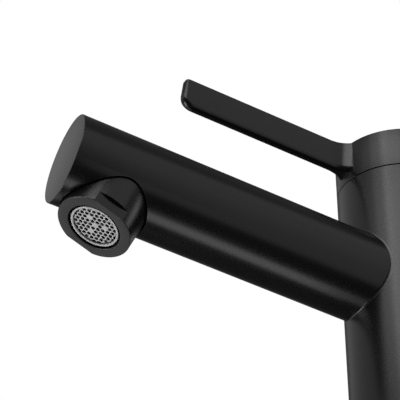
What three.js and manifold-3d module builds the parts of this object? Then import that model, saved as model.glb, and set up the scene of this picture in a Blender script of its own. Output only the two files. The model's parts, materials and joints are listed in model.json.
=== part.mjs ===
// Single-lever bathroom mixer: a round upright body, a round spout pitched slightly up, a tilted
// aerator nozzle under the spout's end, and a cap with a thin blade lever.
//
// Frame: millimetres, +Z up. The origin is on the body's axis, on the deck that the mixer stands on.
// The spout and the lever point along -Y. Hot is at -X and cold at +X.

import * as THREE from 'three';
import { mergeVertices } from 'three/addons/utils/BufferGeometryUtils.js';
import Module from 'manifold-3d';

const wasm = await Module();
wasm.setup();

// ---------------------------------------------------------------------------------------------
// Driving dimensions
// ---------------------------------------------------------------------------------------------

const FIT = 0.3;                  // gap between two pieces that touch
const FINE = 40;                  // sides of the large round pieces
const PLAIN = 24;                 // sides of the small round pieces
const SMALL = 12;                 // sides of ports, pins and screws
const HEX = 6;
const OVERRUN = 10;               // cuts run this far past what they cut

// Body and cap
const HEIGHT = 165;               // deck to the top of the cap
const BODY_R = 25;
const BODY_WALL = 2.5;
const CAP_H = 16.1;               // top of the cap down to the seam
const SEAM = 0.4;                 // open joint between the cap and the body
const CAP_WALL = 2.8;
const CAP_ROOF = 7.1;             // thickness of the cap's top
const CAP_CHAMFER = 0.5;

// Spout, measured along its own axis from the body's axis
const SPOUT_R = 16.9;
const SPOUT_WALL = 2;
const SPOUT_END_WALL = 2.5;
const SPOUT_DROP = 61.1;          // top of the cap down to where the two axes cross
const SPOUT_REACH = 143;
const SPOUT_PITCH = 9;            // degrees above level

// Water pipe inside the spout
const PIPE_R = 4.3;
const PIPE_WALL = 1;
const PIPE_RISE = 3;              // the pipe lies this far above the spout's axis
const PIPE_GRIP = 3;              // length of pipe held in the core
const PIPE_PLUG = 5.5;            // length of pipe held in the outlet seat
const SEAT_BACK = 3;              // solid seat between the pipe's end and the nozzle's neck

// Aerator nozzle, measured along its own axis from the spout's axis
const NOZZLE_AT = 119.7;          // place of the nozzle along the spout
const NOZZLE_TILT = 72.3;         // degrees between the two axes
const NOZZLE_R = 14.1;
const NOZZLE_RIM = 24.5;
const NOZZLE_SHOULDER = 8.5;      // top of the wide collar
const NECK_R = 11.9;
const NOZZLE_BORE_R = 10.9;
const LIP_R = 10;
const LIP_T = 2.5;
const WRENCH_FLATS = 25.6;        // width across the two flats
const FLAT_DEPTH = 4.3;
const SEAL_T = 1.4;
const NECK_SEAL_W = 3.2;
const GALLERY_WALL = 4;           // the water gallery is this much smaller than the neck

// Aerator insert
const CUP_R = 10.6;
const CUP_MOUTH_R = 9.25;
const CUP_MOUTH_WALL = 0.9;
const CUP_WALL = 1;
const CUP_RECESS = 0.4;           // the cup's mouth lies this far behind the rim
const CUP_LENGTH = 15;
const GRID_RECESS = 0.7;          // the grid lies this far behind the cup's mouth
const GRID_T = 2.2;
const GRID_PITCH = 1.88;
const GRID_HOLE_R = 0.72;
const GRID_SPAN = 4.4;            // lattice points kept, in pitches from the centre
const DISC_T = 1.4;
const STRAIGHTENER_HOLES = { holeR: 1.6, rings: [[6.4, 10], [2.6, 4]] };    // [radius, count]
const DIFFUSER_HOLES = { holeR: 0.6, rings: [[6.8, 16]] };
const REGULATOR_HOLES = { holeR: 0.9, rings: [[7.8, 12]] };
const REGULATOR_RING_R = 5.2;
const REGULATOR_RING_T = 1;
const SCREEN_HOLES = { holeR: 0.8, rings: [[4.2, 8]] };
const SCREEN_RISE = 5;
const SCREEN_WALL = 0.8;

// Cartridge, 35 mm across
const CARTRIDGE_R = 17.5;
const CARTRIDGE_WALL = 2.2;
const BASE_T = 4.2;
const FIXED_DISC_T = 3.2;
const MOVING_DISC_T = 3;
const MIXING_ROOF = 1.2;          // ceramic left above the mixing hollow
const MIXING_SHIFT = 1;           // the hollow lies this far in front of the disc's middle
const DISC_CARRIER_T = 6.4;
const FLANGE_T = 4;
const SHOULDER_T = 2.2;
const BALL_SEAT = 2.4;            // disc carrier below the ball
const NECK_WALL = 2;
const TURNER_R = 12;              // the turning carrier's upper part
const DISC_CLEAR = 0.8;           // moving disc to the chamber's wall at each end of its travel
const INLET_AT = [7, 5];          // place of each inlet port, mirrored for the other one
const INLET_R = 3;
const OUTLET_AT = -6.5;
const OUTLET_R = 4;
const SEAL_W = 1.4;               // width of a port seal
const SEAL_DEPTH = 1.6;

// Lever linkage
const PIVOT_DROP = 2.9;           // cap's lower edge down to the lift pivot
const LIFT_MAX = 20;              // degrees
const RELIEF_EXTRA = 1.5;         // degrees added to the slope under the back of the cap
const STEM_ARM = 14.6;            // pivot down to the ball on the spindle
const BALL_R = 3.2;
const SPINDLE_SQ = 8;
const SPINDLE_RISE = 16.6;        // pivot up to the top of the spindle
const PIN_R = 2;
const PIN_INSET = 0.5;            // the pin's ends lie this far inside the carrier
const EAR_GAP = 0.7;              // spindle to each ear of the carrier
const SLOT_CLEAR = 0.9;           // spindle's ball to the front of the carrier's slot
const SLOT_BACK = 1.5;            // the slot is this much shorter behind
const HEAD_START = 1;             // the square head starts this far above the pivot
const HUB_PROUD = 0.3;            // the hub round the pin stands out this far from the square
const SHANK_NECK = 0.6;           // the shank is this much thinner than the ball

// Lever
const LEVER_LEN = 70.4;
const LEVER_T = 4.36;
const LEVER_H = 12.6;
const LEVER_PITCH = 8.9;          // degrees above level
const LEVER_TIP_LOW_R = 5.5;
const LEVER_TIP_TOP_R = 1.3;
const FLARE_R = 11;               // hollow flare where the lever meets the cap
const FLARE_START = 7;            // it starts this far in front of the cap
const TIP_STEPS = 6;
const FLARE_STEPS = 8;

// What holds the cap on its spindle, and the cover ring inside the cap
const SCREW_R = 2.5;
const SCREW_LEN = 8;
const SCREW_KEY = 2.5;            // the set screw's hexagon key
const KEY_DEPTH = 3;
const PLUG_LEN = 3;
const PLUG_RECESS = 0.4;
const BOSS_DROP = 4.5;
const BOSS_R = 6.8;
const SHROUD_CLEAR = 1.7;         // cover ring to the cap's wall
const SHROUD_H = 2;
const SHROUD_WALL = 1.4;

// Valve core
const CORE_DEPTH = 24.5;          // core below the cartridge
const NUT_LEDGE = 1.5;            // the nut is this much wider all round than the cartridge
const NUT_T = 4.2;
const NUT_HEX_INSET = 1.1;        // the hexagon's corners lie this far inside the round part
const NUT_HEX_T = 4;
const PORT_R = 5;                 // hose ports, M10
const PORT_DEPTH = 11;
const PORT_AT = [8, 6];

// Base and fixings under the deck
const SEAL_RING_T = 2;
const SEAL_RING_W = 3;
const INSERT_T = 10;
const STUD_R = 4;
const STUD_AT = 12;
const HOSE_R = 7.5;
const HOSE_HALF_SPREAD = 6.5;
const HOSE_AT = -5;
const DECK_T = 30;
const STUD_BELOW = 58;
const PLATE_R = 25;
const PLATE_T = 3;
const PLATE_SLOT_R = 11;
const PLATE_SLOT_AT = -6;
const NUT_M8_FLATS = 13;
const NUT_M8_T = 6.5;

// ---------------------------------------------------------------------------------------------
// Places worked out from the driving dimensions
// ---------------------------------------------------------------------------------------------

const radians = THREE.MathUtils.degToRad;
const capBase = HEIGHT - CAP_H;
const bodyTop = capBase - SEAM;
const pivotZ = capBase - PIVOT_DROP;
const spoutZ = HEIGHT - SPOUT_DROP;
const shellInnerR = BODY_R - BODY_WALL;
const coreR = shellInnerR - FIT;

// The cartridge's own levels, from its underside
const fixedDiscZ = BASE_T + FIT;
const movingDiscZ = fixedDiscZ + FIXED_DISC_T + FIT;
const discCarrierZ = movingDiscZ + MOVING_DISC_T + FIT;
const flangeZ = discCarrierZ + DISC_CARRIER_T + FIT;
const chamberTop = flangeZ + FLANGE_T + FIT;
const shoulderZ = chamberTop + SHOULDER_T;
const pivotAbove = discCarrierZ + BALL_SEAT + BALL_R + STEM_ARM;
const cartridgeZ = pivotZ - pivotAbove;
const chamberR = CARTRIDGE_R - CARTRIDGE_WALL;
const discTravel = STEM_ARM * Math.sin(radians(LIFT_MAX));
const discCarrierR = chamberR - discTravel / 2 - DISC_CLEAR;
const nutR = CARTRIDGE_R + NUT_LEDGE;
const coreBase = cartridgeZ - CORE_DEPTH;

// ---------------------------------------------------------------------------------------------
// Solids
// ---------------------------------------------------------------------------------------------

// A closed three.js geometry as a solid. Triangles that collapse when vertices merge are dropped.
function solid(geometry) {
  const bare = geometry.clone();
  bare.deleteAttribute('normal');
  bare.deleteAttribute('uv');
  const merged = mergeVertices(bare);
  const corners = merged.index.array;
  const kept = [];
  for (let i = 0; i < corners.length; i += 3) {
    const [a, b, c] = [corners[i], corners[i + 1], corners[i + 2]];
    if (a !== b && b !== c && c !== a) {
      kept.push(a, b, c);
    }
  }
  const vertProperties = new Float32Array(merged.attributes.position.array);
  return new wasm.Manifold(new wasm.Mesh({ numProp: 3, vertProperties, triVerts: new Uint32Array(kept) }));
}

// A round bar along Z.
function rod(radius, from, to, sides = PLAIN, x = 0, y = 0) {
  const bar = new THREE.CylinderGeometry(radius, radius, to - from, sides);
  return solid(bar.rotateX(Math.PI / 2).translate(x, y, (from + to) / 2));
}

// A ring along Z.
function ring(outer, inner, from, to, sides = PLAIN, x = 0, y = 0) {
  const past = to - from;
  return rod(outer, from, to, sides, x, y).subtract(rod(inner, from - past, to + past, sides, x, y));
}

// A bar along X through (y, z).
function crossBar(radius, halfLength, y, z, sides = SMALL) {
  const bar = new THREE.CylinderGeometry(radius, radius, 2 * halfLength, sides);
  return solid(bar.rotateZ(Math.PI / 2).translate(0, y, z));
}

function block(x, y, z) {
  const size = [x[1] - x[0], y[1] - y[0], z[1] - z[0]];
  const centre = [(x[0] + x[1]) / 2, (y[0] + y[1]) / 2, (z[0] + z[1]) / 2];
  return solid(new THREE.BoxGeometry(...size).translate(...centre));
}

// A profile of [radius, z] points, listed anticlockwise with the radius to the right, turned about Z.
function turned(profile, sides = PLAIN) {
  const points = profile.map(([r, z]) => new THREE.Vector2(r, z));
  points.push(points[0].clone());
  return solid(new THREE.LatheGeometry(points, sides).rotateX(Math.PI / 2));
}

// An outline in X and Y, pushed up from one level to another.
function pushed(shape, from, to, curveSegments = 12) {
  const depth = to - from;
  const options = { depth, bevelEnabled: false, curveSegments };
  return solid(new THREE.ExtrudeGeometry(shape, options).translate(0, 0, from));
}

// A regular hexagon bar along Z, measured across its flats.
function hexBar(flats, from, to, x = 0, y = 0) {
  return rod(flats / 2 / Math.cos(Math.PI / HEX), from, to, HEX, x, y);
}

// A solid taken from one group's frame into another's.
function moved(body, fromGroup, toGroup) {
  fromGroup.updateWorldMatrix(true, false);
  toGroup.updateWorldMatrix(true, false);
  const step = toGroup.matrixWorld.clone().invert().multiply(fromGroup.matrixWorld);
  return body.transform(step.toArray());
}

// ---------------------------------------------------------------------------------------------
// Finishes and nodes
// ---------------------------------------------------------------------------------------------

const finishes = {
  blackPaint: { color: 0x1a1a1b, roughness: 0.42, metalness: 0.2 },
  brass: { color: 0xb08d4a, roughness: 0.35, metalness: 1 },
  steel: { color: 0xb9bcc0, roughness: 0.3, metalness: 1 },
  greyPlastic: { color: 0xc4c6c6, roughness: 0.5, metalness: 0 },
  whitePlastic: { color: 0xe4e4e0, roughness: 0.55, metalness: 0 },
  blackPlastic: { color: 0x242426, roughness: 0.55, metalness: 0 },
  ceramic: { color: 0xf2f0ea, roughness: 0.15, metalness: 0 },
  rubber: { color: 0x1c1c1c, roughness: 0.9, metalness: 0 },
};

function addPiece(group, name, finish, body) {
  const { vertProperties, triVerts } = body.getMesh();
  const geometry = new THREE.BufferGeometry();
  geometry.setAttribute('position', new THREE.BufferAttribute(new Float32Array(vertProperties), 3));
  geometry.setIndex(new THREE.BufferAttribute(new Uint32Array(triVerts), 1));
  geometry.computeVertexNormals();
  const mesh = new THREE.Mesh(geometry, new THREE.MeshStandardMaterial(finishes[finish]));
  mesh.name = name;
  group.add(mesh);
}

const mixer = new THREE.Group();

// The spout's frame: +Z runs out along the spout and +Y points up across it.
const spout = new THREE.Group();
spout.position.z = spoutZ;
spout.rotation.x = radians(90 - SPOUT_PITCH);
mixer.add(spout);

// The nozzle's frame: +Z runs down and out of the nozzle and +Y points towards the spout's tip.
const nozzle = new THREE.Group();
nozzle.position.z = NOZZLE_AT;
nozzle.rotation.x = radians(NOZZLE_TILT);
spout.add(nozzle);

// The cartridge's frame starts at its underside.
const cartridge = new THREE.Group();
cartridge.position.z = cartridgeZ;
mixer.add(cartridge);

// The lever's frame starts at the lift pivot.
const handle = new THREE.Group();
handle.position.z = pivotZ;
mixer.add(handle);

// ---------------------------------------------------------------------------------------------
// Body, core and spout
// ---------------------------------------------------------------------------------------------

// The passage that the water pipe lies in, in the spout's frame.
function pipePassage(radius, from, to) {
  return rod(radius, from, to, SMALL, 0, PIPE_RISE);
}

const pipeStart = coreR - PIPE_GRIP;

function bodyShell() {
  const tube = ring(BODY_R, shellInnerR, 0, bodyTop, FINE);
  const hole = pipePassage(PIPE_R + 3 * FIT, pipeStart, BODY_R + OVERRUN);
  return tube.subtract(moved(hole, spout, mixer));
}

// Each water port: its place, radius and which side it is on.
const inletPorts = [-1, 1].map((side) => [side * INLET_AT[0], INLET_AT[1]]);
const hosePorts = [-1, 1].map((side) => [side * PORT_AT[0], PORT_AT[1]]);

function valveCore() {
  const floor = cartridgeZ - FIT;
  const step = cartridgeZ + shoulderZ - FIT;
  let core = rod(coreR, coreBase, bodyTop, FINE);
  core = core.subtract(rod(CARTRIDGE_R + FIT, floor, bodyTop + OVERRUN, FINE));
  core = core.subtract(rod(nutR + FIT, step, bodyTop + OVERRUN, FINE));
  for (const [x, y] of inletPorts) {
    core = core.subtract(rod(INLET_R, coreBase + PORT_DEPTH - FIT, floor + FIT, SMALL, x, y));
  }
  for (const [x, y] of hosePorts) {
    core = core.subtract(rod(PORT_R, coreBase - OVERRUN, coreBase + PORT_DEPTH, SMALL, x, y));
  }
  const outletZ = spoutZ - OUTLET_AT * Math.tan(radians(SPOUT_PITCH));
  core = core.subtract(rod(OUTLET_R - FIT, outletZ, floor + FIT, SMALL, 0, OUTLET_AT));
  const channel = pipePassage(PIPE_R - PIPE_WALL, -OUTLET_AT, coreR + OVERRUN);
  const socket = pipePassage(PIPE_R + FIT, pipeStart - FIT, coreR + OVERRUN);
  return core.subtract(moved(channel.add(socket), spout, mixer));
}

function spoutTube() {
  const inner = rod(SPOUT_R - SPOUT_WALL, -OVERRUN, SPOUT_REACH - SPOUT_END_WALL, FINE);
  let tube = rod(SPOUT_R, 0, SPOUT_REACH, FINE).subtract(inner);
  const body = rod(BODY_R + FIT, 0, HEIGHT, FINE);
  tube = tube.subtract(moved(body, mixer, spout));
  const opening = rod(NOZZLE_R + FIT, NOZZLE_SHOULDER - FIT, NOZZLE_RIM + OVERRUN, FINE);
  return tube.subtract(moved(opening, nozzle, spout));
}

const seatFrom = NOZZLE_AT - NECK_R - PIPE_PLUG - SEAT_BACK;
const seatTo = SPOUT_REACH - SPOUT_END_WALL - FIT;

function outletSeat() {
  let seat = rod(SPOUT_R - SPOUT_WALL - FIT, seatFrom, seatTo, FINE);
  seat = seat.subtract(pipePassage(PIPE_R + FIT, seatFrom - OVERRUN, seatFrom + PIPE_PLUG));
  seat = seat.subtract(pipePassage(PIPE_R - PIPE_WALL, seatFrom, NOZZLE_AT));
  const sealTop = -SEAL_T - 2 * FIT;
  const neckRoom = rod(NECK_R + FIT, sealTop, NOZZLE_RIM + OVERRUN, FINE);
  const collarRoom = rod(NOZZLE_R + FIT, NOZZLE_SHOULDER - FIT, NOZZLE_RIM + OVERRUN, FINE);
  const gallery = rod(NECK_R - GALLERY_WALL, -PIPE_RISE - PIPE_R, sealTop + FIT);
  return seat.subtract(moved(neckRoom.add(collarRoom).add(gallery), nozzle, spout));
}

addPiece(mixer, 'body_shell', 'blackPaint', bodyShell());
addPiece(mixer, 'valve_core', 'brass', valveCore());
addPiece(spout, 'spout_tube', 'blackPaint', spoutTube());
addPiece(spout, 'outlet_seat', 'brass', outletSeat());
const waterPipe = ring(PIPE_R, PIPE_R - PIPE_WALL, pipeStart, seatFrom + PIPE_PLUG - FIT, SMALL);
addPiece(spout, 'water_pipe', 'brass', waterPipe.translate([0, PIPE_RISE, 0]));

// ---------------------------------------------------------------------------------------------
// Aerator, in the nozzle's frame
// ---------------------------------------------------------------------------------------------

const lipZ = NOZZLE_RIM - LIP_T;
const cupFront = NOZZLE_RIM - CUP_RECESS;
const cupShoulder = lipZ - FIT;
const cupBack = cupShoulder - CUP_LENGTH + LIP_T;
const cupMouthBore = CUP_MOUTH_R - CUP_MOUTH_WALL;
const gridFront = cupFront - GRID_RECESS;
const gridBack = gridFront - GRID_T;
const cupBoreR = CUP_R - CUP_WALL;
const discR = cupBoreR - FIT;

function aeratorHousing() {
  const body = turned([
    [LIP_R, NOZZLE_RIM],
    [LIP_R, lipZ],
    [NOZZLE_BORE_R, lipZ],
    [NOZZLE_BORE_R, 0],
    [NECK_R, 0],
    [NECK_R, NOZZLE_SHOULDER],
    [NOZZLE_R, NOZZLE_SHOULDER],
    [NOZZLE_R, NOZZLE_RIM],
  ], FINE);
  const half = WRENCH_FLATS / 2;
  const top = NOZZLE_RIM - FLAT_DEPTH;
  const outside = [half, NOZZLE_R + OVERRUN];
  const side = block(outside, [-NOZZLE_R, NOZZLE_R], [top, NOZZLE_RIM + OVERRUN]);
  return body.subtract(side).subtract(side.mirror([1, 0, 0]));
}

function aeratorCup() {
  const ledge = gridBack - FIT;
  return turned([
    [cupMouthBore, cupFront],
    [cupMouthBore, ledge],
    [cupBoreR, ledge],
    [cupBoreR, cupBack],
    [CUP_R, cupBack],
    [CUP_R, cupShoulder],
    [CUP_MOUTH_R, cupShoulder],
    [CUP_MOUTH_R, cupFront],
  ]);
}

// Honeycomb lattice points within the grid. Rows run along X. The centre cell and three cells two
// rows out are solid posts.
function gridCells() {
  const cells = [];
  const rowStep = GRID_PITCH * Math.sin(Math.PI / 3);
  const reach = Math.ceil(GRID_SPAN / Math.sin(Math.PI / 3));
  for (let row = -reach; row <= reach; row += 1) {
    for (let column = -reach; column <= reach; column += 1) {
      const x = (column + (Math.abs(row) % 2) / 2) * GRID_PITCH;
      const y = row * rowStep;
      const inside = Math.hypot(x, y) <= GRID_SPAN * GRID_PITCH;
      const centre = row === 0 && column === 0;
      const left = row === 0 && column === -2;
      const right = Math.abs(row) === 2 && column === 1;
      if (inside && !(centre || left || right)) {
        cells.push([x, y]);
      }
    }
  }
  return cells;
}

// A piece with a hexagonal hole along Z at each listed place.
function pierced(body, from, to, holeR, places) {
  let left = body;
  for (const [x, y] of places) {
    left = left.subtract(rod(holeR, from - OVERRUN, to + OVERRUN, HEX, x, y));
  }
  return left;
}

// The places of the holes in rings round the axis.
function ringPlaces(rings) {
  const places = [];
  for (const [radius, count] of rings) {
    for (let i = 0; i < count; i += 1) {
      const turn = 2 * Math.PI * i / count;
      places.push([radius * Math.cos(turn), radius * Math.sin(turn)]);
    }
  }
  return places;
}

// A disc of the insert, with its rings of holes.
function insertDisc(from, thickness, holes) {
  const to = from + thickness;
  return pierced(rod(discR, from, to), from, to, holes.holeR, ringPlaces(holes.rings));
}

// The insert's inner stack, each level resting on the one below it.
const straightenerZ = gridBack - FIT - 2 * DISC_T;
const diffuserZ = straightenerZ - FIT - DISC_T;
const regulatorZ = diffuserZ - FIT - 2 * DISC_T;

function filterScreen() {
  const rim = cupBack - FIT;
  const top = rim - SCREEN_RISE;
  const dome = turned([
    [0, top],
    [discR - 3 * SCREEN_WALL, top],
    [discR, rim - SCREEN_WALL],
    [CUP_R, rim - SCREEN_WALL],
    [CUP_R, rim],
    [discR - SCREEN_WALL, rim],
    [discR - 4 * SCREEN_WALL, top + SCREEN_WALL],
    [0, top + SCREEN_WALL],
  ]);
  const places = [[0, 0], ...ringPlaces(SCREEN_HOLES.rings)];
  return pierced(dome, top, top + SCREEN_WALL, SCREEN_HOLES.holeR, places);
}

addPiece(nozzle, 'aerator_housing', 'blackPaint', aeratorHousing());
const sealR = NECK_R - FIT;
const neckSeal = ring(sealR, sealR - NECK_SEAL_W, -SEAL_T - FIT, -FIT);
addPiece(nozzle, 'aerator_seal', 'rubber', neckSeal);
addPiece(nozzle, 'aerator_cup', 'greyPlastic', aeratorCup());
const gridR = cupMouthBore - FIT;
const gridPlate = rod(gridR, gridBack, gridFront);
addPiece(nozzle, 'aerator_grid', 'greyPlastic',
  pierced(gridPlate, gridBack, gridFront, GRID_HOLE_R, gridCells()));
addPiece(nozzle, 'flow_straightener', 'whitePlastic',
  insertDisc(straightenerZ, 2 * DISC_T, STRAIGHTENER_HOLES));
addPiece(nozzle, 'diffuser_plate', 'whitePlastic', insertDisc(diffuserZ, DISC_T, DIFFUSER_HOLES));
addPiece(nozzle, 'flow_regulator', 'greyPlastic', insertDisc(regulatorZ, 2 * DISC_T, REGULATOR_HOLES));
const regulatorRing = new THREE.TorusGeometry(REGULATOR_RING_R, REGULATOR_RING_T, 8, SMALL);
addPiece(nozzle, 'regulator_o_ring', 'rubber',
  solid(regulatorRing).translate([0, 0, regulatorZ - FIT - REGULATOR_RING_T]));
addPiece(nozzle, 'filter_screen', 'whitePlastic', filterScreen());

// ---------------------------------------------------------------------------------------------
// Cartridge
// ---------------------------------------------------------------------------------------------

const neckBoreR = TURNER_R + FIT;
const neckTop = pivotAbove + PIVOT_DROP + FIT / 3;

function cartridgeHousing() {
  return turned([
    [chamberR, BASE_T + FIT],
    [CARTRIDGE_R, BASE_T + FIT],
    [CARTRIDGE_R, shoulderZ],
    [neckBoreR + NECK_WALL, shoulderZ],
    [neckBoreR + NECK_WALL, neckTop],
    [neckBoreR, neckTop],
    [neckBoreR, chamberTop],
    [chamberR, chamberTop],
  ], FINE);
}

const portList = [
  ['hot_inlet_seal', INLET_R, ...inletPorts[0]],
  ['cold_inlet_seal', INLET_R, ...inletPorts[1]],
  ['outlet_seal', OUTLET_R, 0, OUTLET_AT],
];

// A round plate with the three water ports through it.
function portedDisc(radius, from, to) {
  let disc = rod(radius, from, to, FINE);
  for (const [, r, x, y] of portList) {
    disc = disc.subtract(rod(r, from - OVERRUN, to + OVERRUN, SMALL, x, y));
  }
  return disc;
}

function cartridgeBase() {
  let base = portedDisc(CARTRIDGE_R, 0, BASE_T);
  for (const [, r, x, y] of portList) {
    base = base.subtract(rod(r + SEAL_W + 2 * FIT, -OVERRUN, SEAL_DEPTH + FIT, SMALL, x, y));
  }
  return base;
}

// The moving disc and its carrier sit back from the axis at rest and slide forward to open.
const discBack = discTravel / 2;

function movingDisc() {
  const top = movingDiscZ + MOVING_DISC_T;
  const disc = rod(discCarrierR, movingDiscZ, top, PLAIN, 0, discBack);
  const middle = discBack - MIXING_SHIFT;
  const mixing = rod(discCarrierR / 2, movingDiscZ - OVERRUN, top - MIXING_ROOF, PLAIN, 0, middle);
  return disc.subtract(mixing);
}

function discCarrier() {
  const top = discCarrierZ + DISC_CARRIER_T;
  const ballZ = pivotAbove - STEM_ARM;
  const cup = rod(BALL_R + FIT, ballZ - BALL_R - 2 * FIT, top + OVERRUN);
  return rod(discCarrierR, discCarrierZ, top, PLAIN, 0, discBack).subtract(cup);
}

// The carrier that turns with the lever and holds the lift pivot's pin between two ears.
function spindleCarrier() {
  const top = pivotAbove + PIN_R * 2;
  const stem = rod(TURNER_R, flangeZ, top, FINE);
  const flange = rod(chamberR - FIT, flangeZ, flangeZ + FLANGE_T, FINE);
  const halfGap = SPINDLE_SQ / 2 + EAR_GAP;
  const front = discTravel + BALL_R + SLOT_CLEAR;
  const slot = block([-halfGap, halfGap], [-front, front - SLOT_BACK], [flangeZ - OVERRUN, top + OVERRUN]);
  const pinHole = crossBar(PIN_R + FIT, TURNER_R + OVERRUN, 0, pivotAbove);
  return stem.add(flange).subtract(slot).subtract(pinHole);
}

function cartridgeNut() {
  const start = shoulderZ + FIT;
  const round = rod(nutR, start, start + NUT_T, FINE);
  const hex = rod(nutR - NUT_HEX_INSET, start + NUT_T - FIT, start + NUT_T + NUT_HEX_T, HEX);
  return round.add(hex).subtract(rod(neckBoreR + NECK_WALL + FIT, start - OVERRUN, neckTop, FINE));
}

addPiece(cartridge, 'cartridge_base', 'whitePlastic', cartridgeBase());
addPiece(cartridge, 'cartridge_housing', 'whitePlastic', cartridgeHousing());
for (const [name, r, x, y] of portList) {
  addPiece(cartridge, name, 'rubber', ring(r + SEAL_W + FIT, r + FIT, 0, SEAL_DEPTH, SMALL, x, y));
}
addPiece(cartridge, 'fixed_disc', 'ceramic',
  portedDisc(chamberR - FIT, fixedDiscZ, fixedDiscZ + FIXED_DISC_T));
addPiece(cartridge, 'moving_disc', 'ceramic', movingDisc());
addPiece(cartridge, 'disc_carrier', 'blackPlastic', discCarrier());
addPiece(cartridge, 'spindle_carrier', 'blackPlastic', spindleCarrier());
const pinHalf = TURNER_R - PIN_INSET;
addPiece(cartridge, 'pivot_pin', 'steel', crossBar(PIN_R, pinHalf, 0, pivotAbove));
addPiece(cartridge, 'cartridge_nut', 'brass', cartridgeNut());

// ---------------------------------------------------------------------------------------------
// Lever and its spindle, in the frame of the lift pivot
// ---------------------------------------------------------------------------------------------

const capTop = HEIGHT - pivotZ;
const capUnder = PIVOT_DROP;
const capRoof = capTop - CAP_ROOF;
const capBoreR = BODY_R - CAP_WALL;
const screwZ = (capTop + capRoof) / 2;

// The blade seen from its side, then cut to its outline seen from above.
function leverBlade() {
  const root = -OVERRUN;
  const side = new THREE.Shape();
  side.moveTo(root, 0);
  side.lineTo(LEVER_LEN - LEVER_TIP_TOP_R, 0);
  side.absarc(LEVER_LEN - LEVER_TIP_TOP_R, -LEVER_TIP_TOP_R, LEVER_TIP_TOP_R, Math.PI / 2, 0, true);
  side.absarc(LEVER_LEN - LEVER_TIP_LOW_R, LEVER_TIP_LOW_R - LEVER_H, LEVER_TIP_LOW_R,
    0, -Math.PI / 2, true);
  side.lineTo(root, -LEVER_H);
  const half = BODY_R / 2;
  const slab = pushed(side, -half, half, TIP_STEPS);
  const lean = new THREE.Matrix4().makeRotationX(radians(-LEVER_PITCH));
  lean.multiply(new THREE.Matrix4().makeBasis(
    new THREE.Vector3(0, -1, 0), new THREE.Vector3(0, 0, 1), new THREE.Vector3(-1, 0, 0)));
  lean.setPosition(0, -BODY_R, capTop);

  const plan = new THREE.Shape();
  const tip = -BODY_R - LEVER_LEN - OVERRUN;
  const start = -BODY_R - FLARE_START;
  const turn = Math.asin((FLARE_START + CAP_WALL / 2) / FLARE_R);
  const centre = LEVER_T / 2 + FLARE_R;
  plan.moveTo(-LEVER_T / 2, tip);
  plan.lineTo(LEVER_T / 2, tip);
  plan.absarc(centre, start, FLARE_R, Math.PI, Math.PI - turn, true);
  plan.absarc(-centre, start, FLARE_R, turn, 0, true);
  const outline = pushed(plan, -LEVER_H, capTop + LEVER_LEN, FLARE_STEPS);
  return slab.transform(lean.toArray()).intersect(outline);
}

function leverHandle() {
  const outside = turned([
    [0, capUnder],
    [BODY_R, capUnder],
    [BODY_R, capTop - CAP_CHAMFER],
    [BODY_R - CAP_CHAMFER, capTop],
    [0, capTop],
  ], FINE);
  const inside = rod(capBoreR, capUnder - OVERRUN, capRoof, FINE);
  const boss = rod(BOSS_R, capRoof - BOSS_DROP, capRoof + FIT);
  const relief = new THREE.BoxGeometry(4 * BODY_R, 4 * BODY_R, 2 * BODY_R);
  relief.translate(0, 2 * BODY_R, -BODY_R);
  relief.rotateX(radians(LIFT_MAX + RELIEF_EXTRA)).translate(0, 0, capUnder);
  const half = SPINDLE_SQ / 2 + FIT;
  const socket = block([-half, half], [-half, half], [capUnder, SPINDLE_RISE + FIT]);
  let cap = outside.add(leverBlade()).subtract(inside).add(boss);
  cap = cap.subtract(solid(relief)).subtract(socket);
  return cap.subtract(alongBack(rod(SCREW_R + FIT, 0, BODY_R + OVERRUN, SMALL)));
}

// A bar along Z laid along +Y at the height of the set screw.
function alongBack(bar) {
  return bar.rotate([-90, 0, 0]).translate([0, 0, screwZ]);
}

function setScrew() {
  const start = SPINDLE_SQ / 2 + FIT;
  const screw = rod(SCREW_R, start, start + SCREW_LEN, SMALL);
  const keyFrom = start + SCREW_LEN - KEY_DEPTH;
  const hexSocket = hexBar(SCREW_KEY, keyFrom, start + SCREW_LEN + OVERRUN);
  return alongBack(screw.subtract(hexSocket));
}

function indexPlug() {
  const back = BODY_R - PLUG_RECESS;
  return alongBack(rod(SCREW_R, back - PLUG_LEN, back, SMALL));
}

function spindle() {
  const half = SPINDLE_SQ / 2;
  const head = block([-half, half], [-half, half], [HEAD_START, SPINDLE_RISE]);
  const hub = crossBar(half + HUB_PROUD, half + EAR_GAP - FIT, 0, 0, PLAIN);
  const shank = rod(BALL_R - SHANK_NECK, -STEM_ARM, 0, SMALL);
  const ball = solid(new THREE.SphereGeometry(BALL_R, SMALL, SMALL / 2)).translate([0, 0, -STEM_ARM]);
  return head.add(hub).add(shank).add(ball).subtract(crossBar(PIN_R + FIT, OVERRUN, 0, 0));
}

// A fixed cover ring round the cartridge neck. Its rim is part of a ball centred on the pivot, so
// the tilting cap clears it.
function shroudRing() {
  const ballR = capBoreR - SHROUD_CLEAR;
  const foot = bodyTop - pivotZ + FIT;
  const top = foot + SHROUD_H;
  const plate = top - SHROUD_WALL;
  const steps = 2;
  const rim = [];
  for (let i = 0; i <= steps; i += 1) {
    const z = foot + (top - foot) * i / steps;
    rim.push([Math.sqrt(ballR ** 2 - z ** 2), z]);
  }
  const inner = ballR - SHROUD_WALL;
  const hole = neckBoreR;
  return turned([...rim, [hole, top], [hole, plate], [inner, plate], [inner, foot]], FINE);
}

addPiece(handle, 'lever_handle', 'blackPaint', leverHandle());
addPiece(handle, 'spindle', 'steel', spindle());
addPiece(handle, 'set_screw', 'steel', setScrew());
addPiece(handle, 'index_plug', 'blackPlastic', indexPlug());
addPiece(handle, 'shroud_ring', 'blackPlastic', shroudRing());

// ---------------------------------------------------------------------------------------------
// Base and fixings
// ---------------------------------------------------------------------------------------------

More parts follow.
